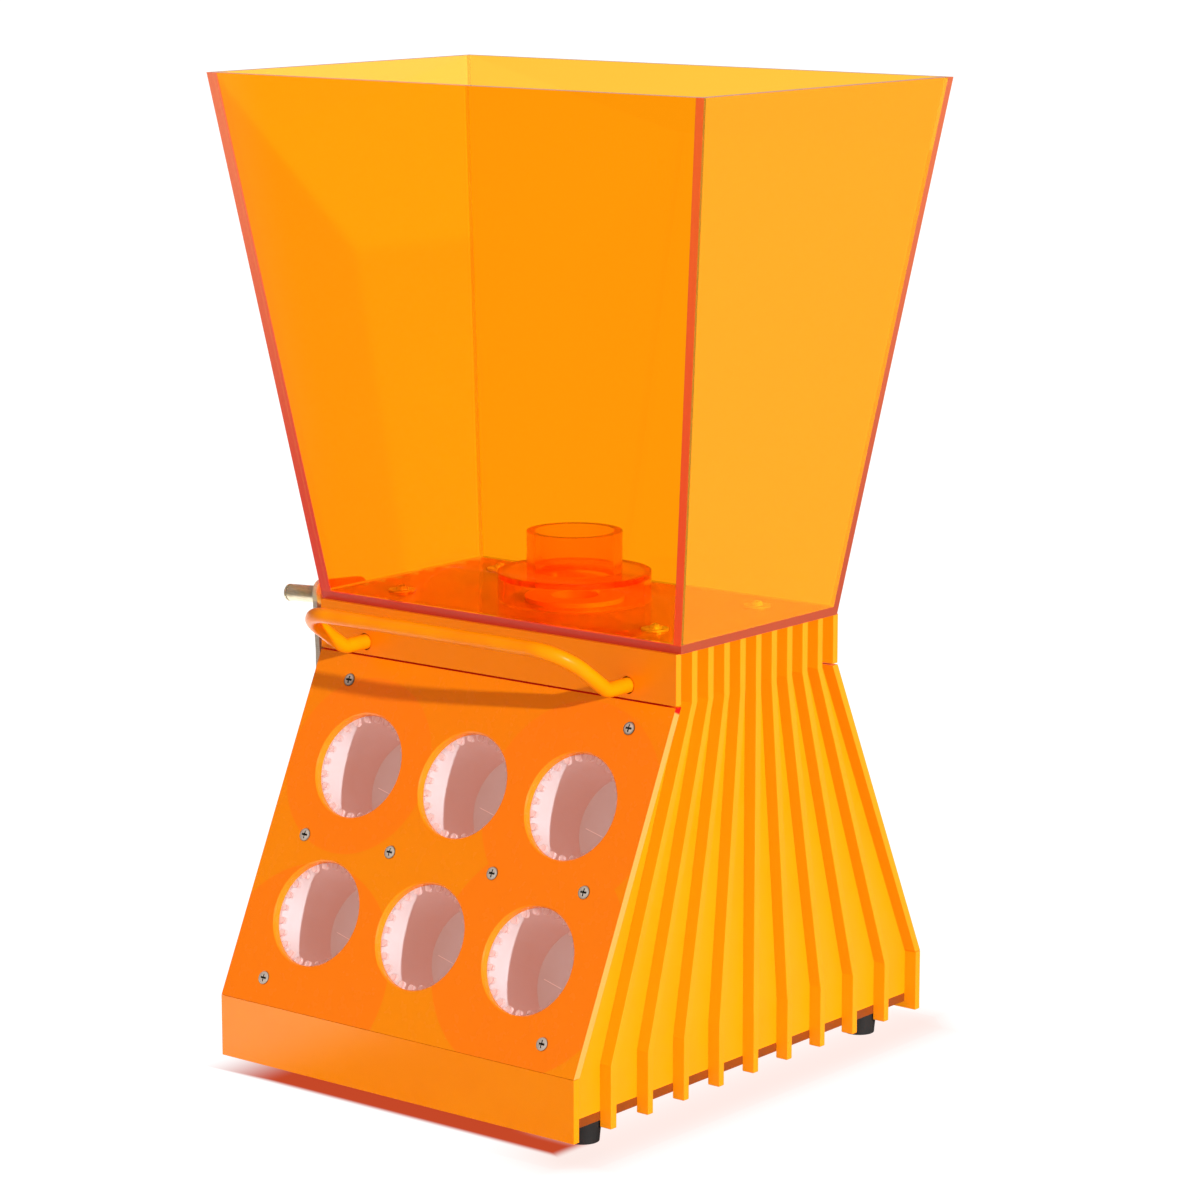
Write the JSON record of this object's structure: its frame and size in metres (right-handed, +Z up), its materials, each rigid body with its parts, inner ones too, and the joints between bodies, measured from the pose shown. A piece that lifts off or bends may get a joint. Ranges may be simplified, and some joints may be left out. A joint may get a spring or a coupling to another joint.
{
  "type": "shot dispenser",
  "caption": "Counter-top shot dispenser: clear tapered hopper over a fluted, flared body with slanted cup wells, a carry handle and a side crank that turns a measuring drum.",
  "frame": {"origin": "on the table, under the middle of the body, at the bottom centre of the overall box", "axes": "+X towards the right side seen from the front, -Y out of the front with the cup wells, +Z up"},
  "size_m": [0.272, 0.252, 0.4355],
  "materials": {
    "tinted_acrylic": "clear orange acrylic sheet",
    "orange_sheet": "opaque orange acrylic sheet, satin",
    "yellow_side": "opaque yellow-orange acrylic sheet, satin",
    "opal_white": "opal white",
    "handle_enamel": "glossy enamel on steel rod",
    "crank_steel": "warm grey, satin",
    "screw_steel": "bright",
    "black_rubber": "matte",
    "white_plastic": "moulded, satin"
  },
  "bodies": {
    "body": {"base_plate": "tinted_acrylic", "bearing_plate": "screw_steel", "carry_handle": "handle_enamel", "crank_bush": "white_plastic", "deck_plate": "yellow_side", "drum_housing": "white_plastic", "foot_screws": "screw_steel", "frame_rails": "yellow_side", "front_collar": "orange_sheet", "front_panel": "orange_sheet", "front_plinth": "orange_sheet", "front_screws": "screw_steel", "handle_rings": "screw_steel", "hopper_back": "tinted_acrylic", "hopper_floor": "tinted_acrylic", "hopper_front": "tinted_acrylic", "hopper_left": "tinted_acrylic", "hopper_right": "tinted_acrylic", "hopper_screws": "screw_steel", "hopper_washers": "screw_steel", "housing_cap_left": "white_plastic", "housing_cap_right": "white_plastic", "outlet_trough": "white_plastic", "rear_battens": "yellow_side", "rear_collar": "orange_sheet", "rear_panel": "orange_sheet", "rear_plinth": "orange_sheet", "rear_screws": "screw_steel", "rubber_feet": "black_rubber", "seat_neck": "tinted_acrylic", "seat_skirt": "tinted_acrylic", "seat_spigot": "white_plastic", "side_fins_left": "yellow_side", "side_fins_right": "yellow_side", "side_panel_left": "yellow_side", "side_panel_right": "yellow_side", "spigot_seal": "black_rubber", "spout_pipe": "screw_steel", "well_carrier": "opal_white", "well_cup_1": "opal_white", "well_cup_2": "opal_white", "well_cup_3": "opal_white", "well_cup_4": "opal_white", "well_cup_5": "opal_white", "well_cup_6": "opal_white", "well_ring_1": "opal_white", "well_ring_2": "opal_white", "well_ring_3": "opal_white", "well_ring_4": "opal_white", "well_ring_5": "opal_white", "well_ring_6": "opal_white"},
    "crank": {"crank_plate": "crank_steel", "crank_shaft": "crank_steel", "crank_nut": "crank_steel", "crank_pin": "crank_steel", "drive_gear": "white_plastic"},
    "crank_handle": {"crank_grip": "crank_steel"},
    "drum": {"measuring_drum": "white_plastic", "drum_shaft": "screw_steel", "drum_gear": "white_plastic"}
  },
  "joints": [
    {"name": "crank_turn", "type": "hinge", "parent": "body", "child": "crank", "pos_m": [-0.1, -0.0311, 0.167], "axis": [1, 0, 0], "continuous": true},
    {"name": "crank_handle_spin", "type": "hinge", "parent": "crank", "child": "crank_handle", "pos_m": [-0.11972, -0.0471, 0.20047], "axis": [0.9981, 0, 0.061], "continuous": true},
    {"name": "drum_turn", "type": "hinge", "parent": "body", "child": "drum", "pos_m": [0, 0, 0.167], "axis": [1, 0, 0], "continuous": true}
  ],
  "couplings": [
    {"joint": "crank_turn", "follows": "drum_turn", "ratio": -1}
  ]
}
